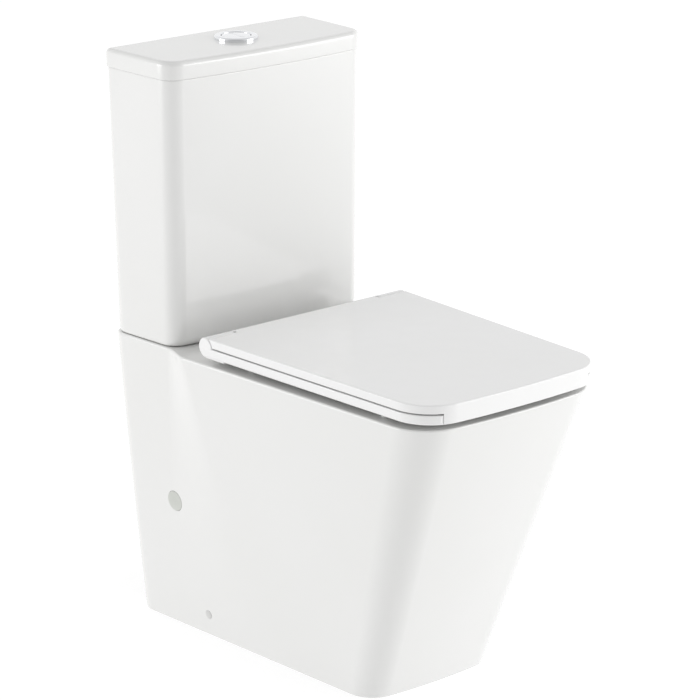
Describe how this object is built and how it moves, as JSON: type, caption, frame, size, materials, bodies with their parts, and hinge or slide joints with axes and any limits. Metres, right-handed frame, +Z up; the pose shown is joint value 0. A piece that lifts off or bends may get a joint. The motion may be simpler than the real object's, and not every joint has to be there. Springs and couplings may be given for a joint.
{
  "type": "close coupled toilet",
  "caption": "Back-to-wall close coupled toilet with skirted pan, dual flush cistern with lift-off lid, slim hinged seat and lid.",
  "frame": {"origin": "on the floor, at the centre of the footprint of the whole toilet", "axes": "+Z up, -Y towards the user at the front, +Y into the wall, +X to the right seen from the front"},
  "size_m": [0.3794, 0.66, 0.8455],
  "materials": {
    "china": "high gloss white glaze",
    "seat_plastic": "gloss white thermoset",
    "chrome_trim": "polished",
    "brass_rod": "bright",
    "steel_pin": "bright zinc plated",
    "seal_rubber": "matt black rubber",
    "buffer_rubber": "translucent white soft rubber",
    "nylon": "satin natural",
    "valve_blue": "satin",
    "float_grey": "satin",
    "plug_grey": "satin light grey",
    "cap_plastic": "gloss off white"
  },
  "bodies": {
    "root": {"pan": "china", "cistern_tank": "china", "flush_valve_base": "nylon", "flush_valve_gasket": "seal_rubber", "flush_valve_nut": "nylon", "flush_valve_cage": "valve_blue", "coupling_seal": "seal_rubber", "fill_valve_body": "nylon", "fill_valve_gasket": "seal_rubber", "fill_valve_nut": "nylon", "fill_valve_pivot": "steel_pin", "cistern_bolts": "brass_rod", "cistern_bolt_seals": "seal_rubber", "cistern_bolt_washers": "steel_pin", "cistern_wing_nuts": "brass_rod", "hinge_posts": "chrome_trim", "hinge_pins": "steel_pin", "seat_fixing_studs": "steel_pin", "seat_fixing_sleeves": "seal_rubber", "seat_fixing_nuts": "nylon", "access_plugs": "plug_grey", "floor_brackets": "nylon", "bracket_screws": "steel_pin", "bracket_caps": "cap_plastic"},
    "cistern_lid": {"cistern_lid": "china", "button_ring": "chrome_trim", "button_nut": "nylon"},
    "half_flush": {"half_flush_button": "chrome_trim", "half_push_rod": "brass_rod"},
    "full_flush": {"full_flush_button": "chrome_trim", "full_push_rod": "brass_rod"},
    "flush_tube": {"overflow_tube": "nylon", "flush_seal": "seal_rubber"},
    "fill_float": {"fill_valve_float": "float_grey"},
    "fill_lever": {"fill_valve_lever": "valve_blue"},
    "seat": {"seat_ring": "seat_plastic", "seat_bushes": "nylon", "seat_buffers": "buffer_rubber"},
    "seat_lid": {"seat_lid": "seat_plastic", "lid_bushes": "nylon", "lid_buffers": "buffer_rubber"}
  },
  "joints": [
    {"name": "seat_hinge", "type": "hinge", "parent": "root", "child": "seat", "pos_m": [0, 0.1095, 0.4573], "axis": [-1, 0, 0], "range_deg": [0, 92]},
    {"name": "seat_lid_hinge", "type": "hinge", "parent": "seat", "child": "seat_lid", "pos_m": [0, 0.1095, 0.4573], "axis": [1, 0, 0], "range_deg": [-97, 0]},
    {"name": "cistern_lid_lift", "type": "slide", "parent": "root", "child": "cistern_lid", "axis": [0, 0, 1], "range_m": [0, 0.15]},
    {"name": "half_flush_press", "type": "slide", "parent": "cistern_lid", "child": "half_flush", "axis": [0, 0, -1], "range_m": [0, 0.006], "stiffness_N_per_m": 500, "springref_m": -0.004},
    {"name": "full_flush_press", "type": "slide", "parent": "cistern_lid", "child": "full_flush", "axis": [0, 0, -1], "range_m": [0, 0.006], "stiffness_N_per_m": 500, "springref_m": -0.004},
    {"name": "flush_tube_lift", "type": "slide", "parent": "root", "child": "flush_tube", "axis": [0, 0, 1], "range_m": [0, 0.0201]},
    {"name": "fill_float_rise", "type": "slide", "parent": "root", "child": "fill_float", "axis": [0, 0, 1], "range_m": [0, 0.012]},
    {"name": "fill_lever_tilt", "type": "hinge", "parent": "root", "child": "fill_lever", "pos_m": [-0.122, 0.276, 0.682], "axis": [-1, 0, 0], "range_deg": [0, 21.3]}
  ],
  "couplings": [
    {"joint": "flush_tube_lift", "follows": "full_flush_press", "ratio": 3.3333},
    {"joint": "fill_lever_tilt", "follows": "fill_float_rise", "rad_per_m": 30.77}
  ]
}
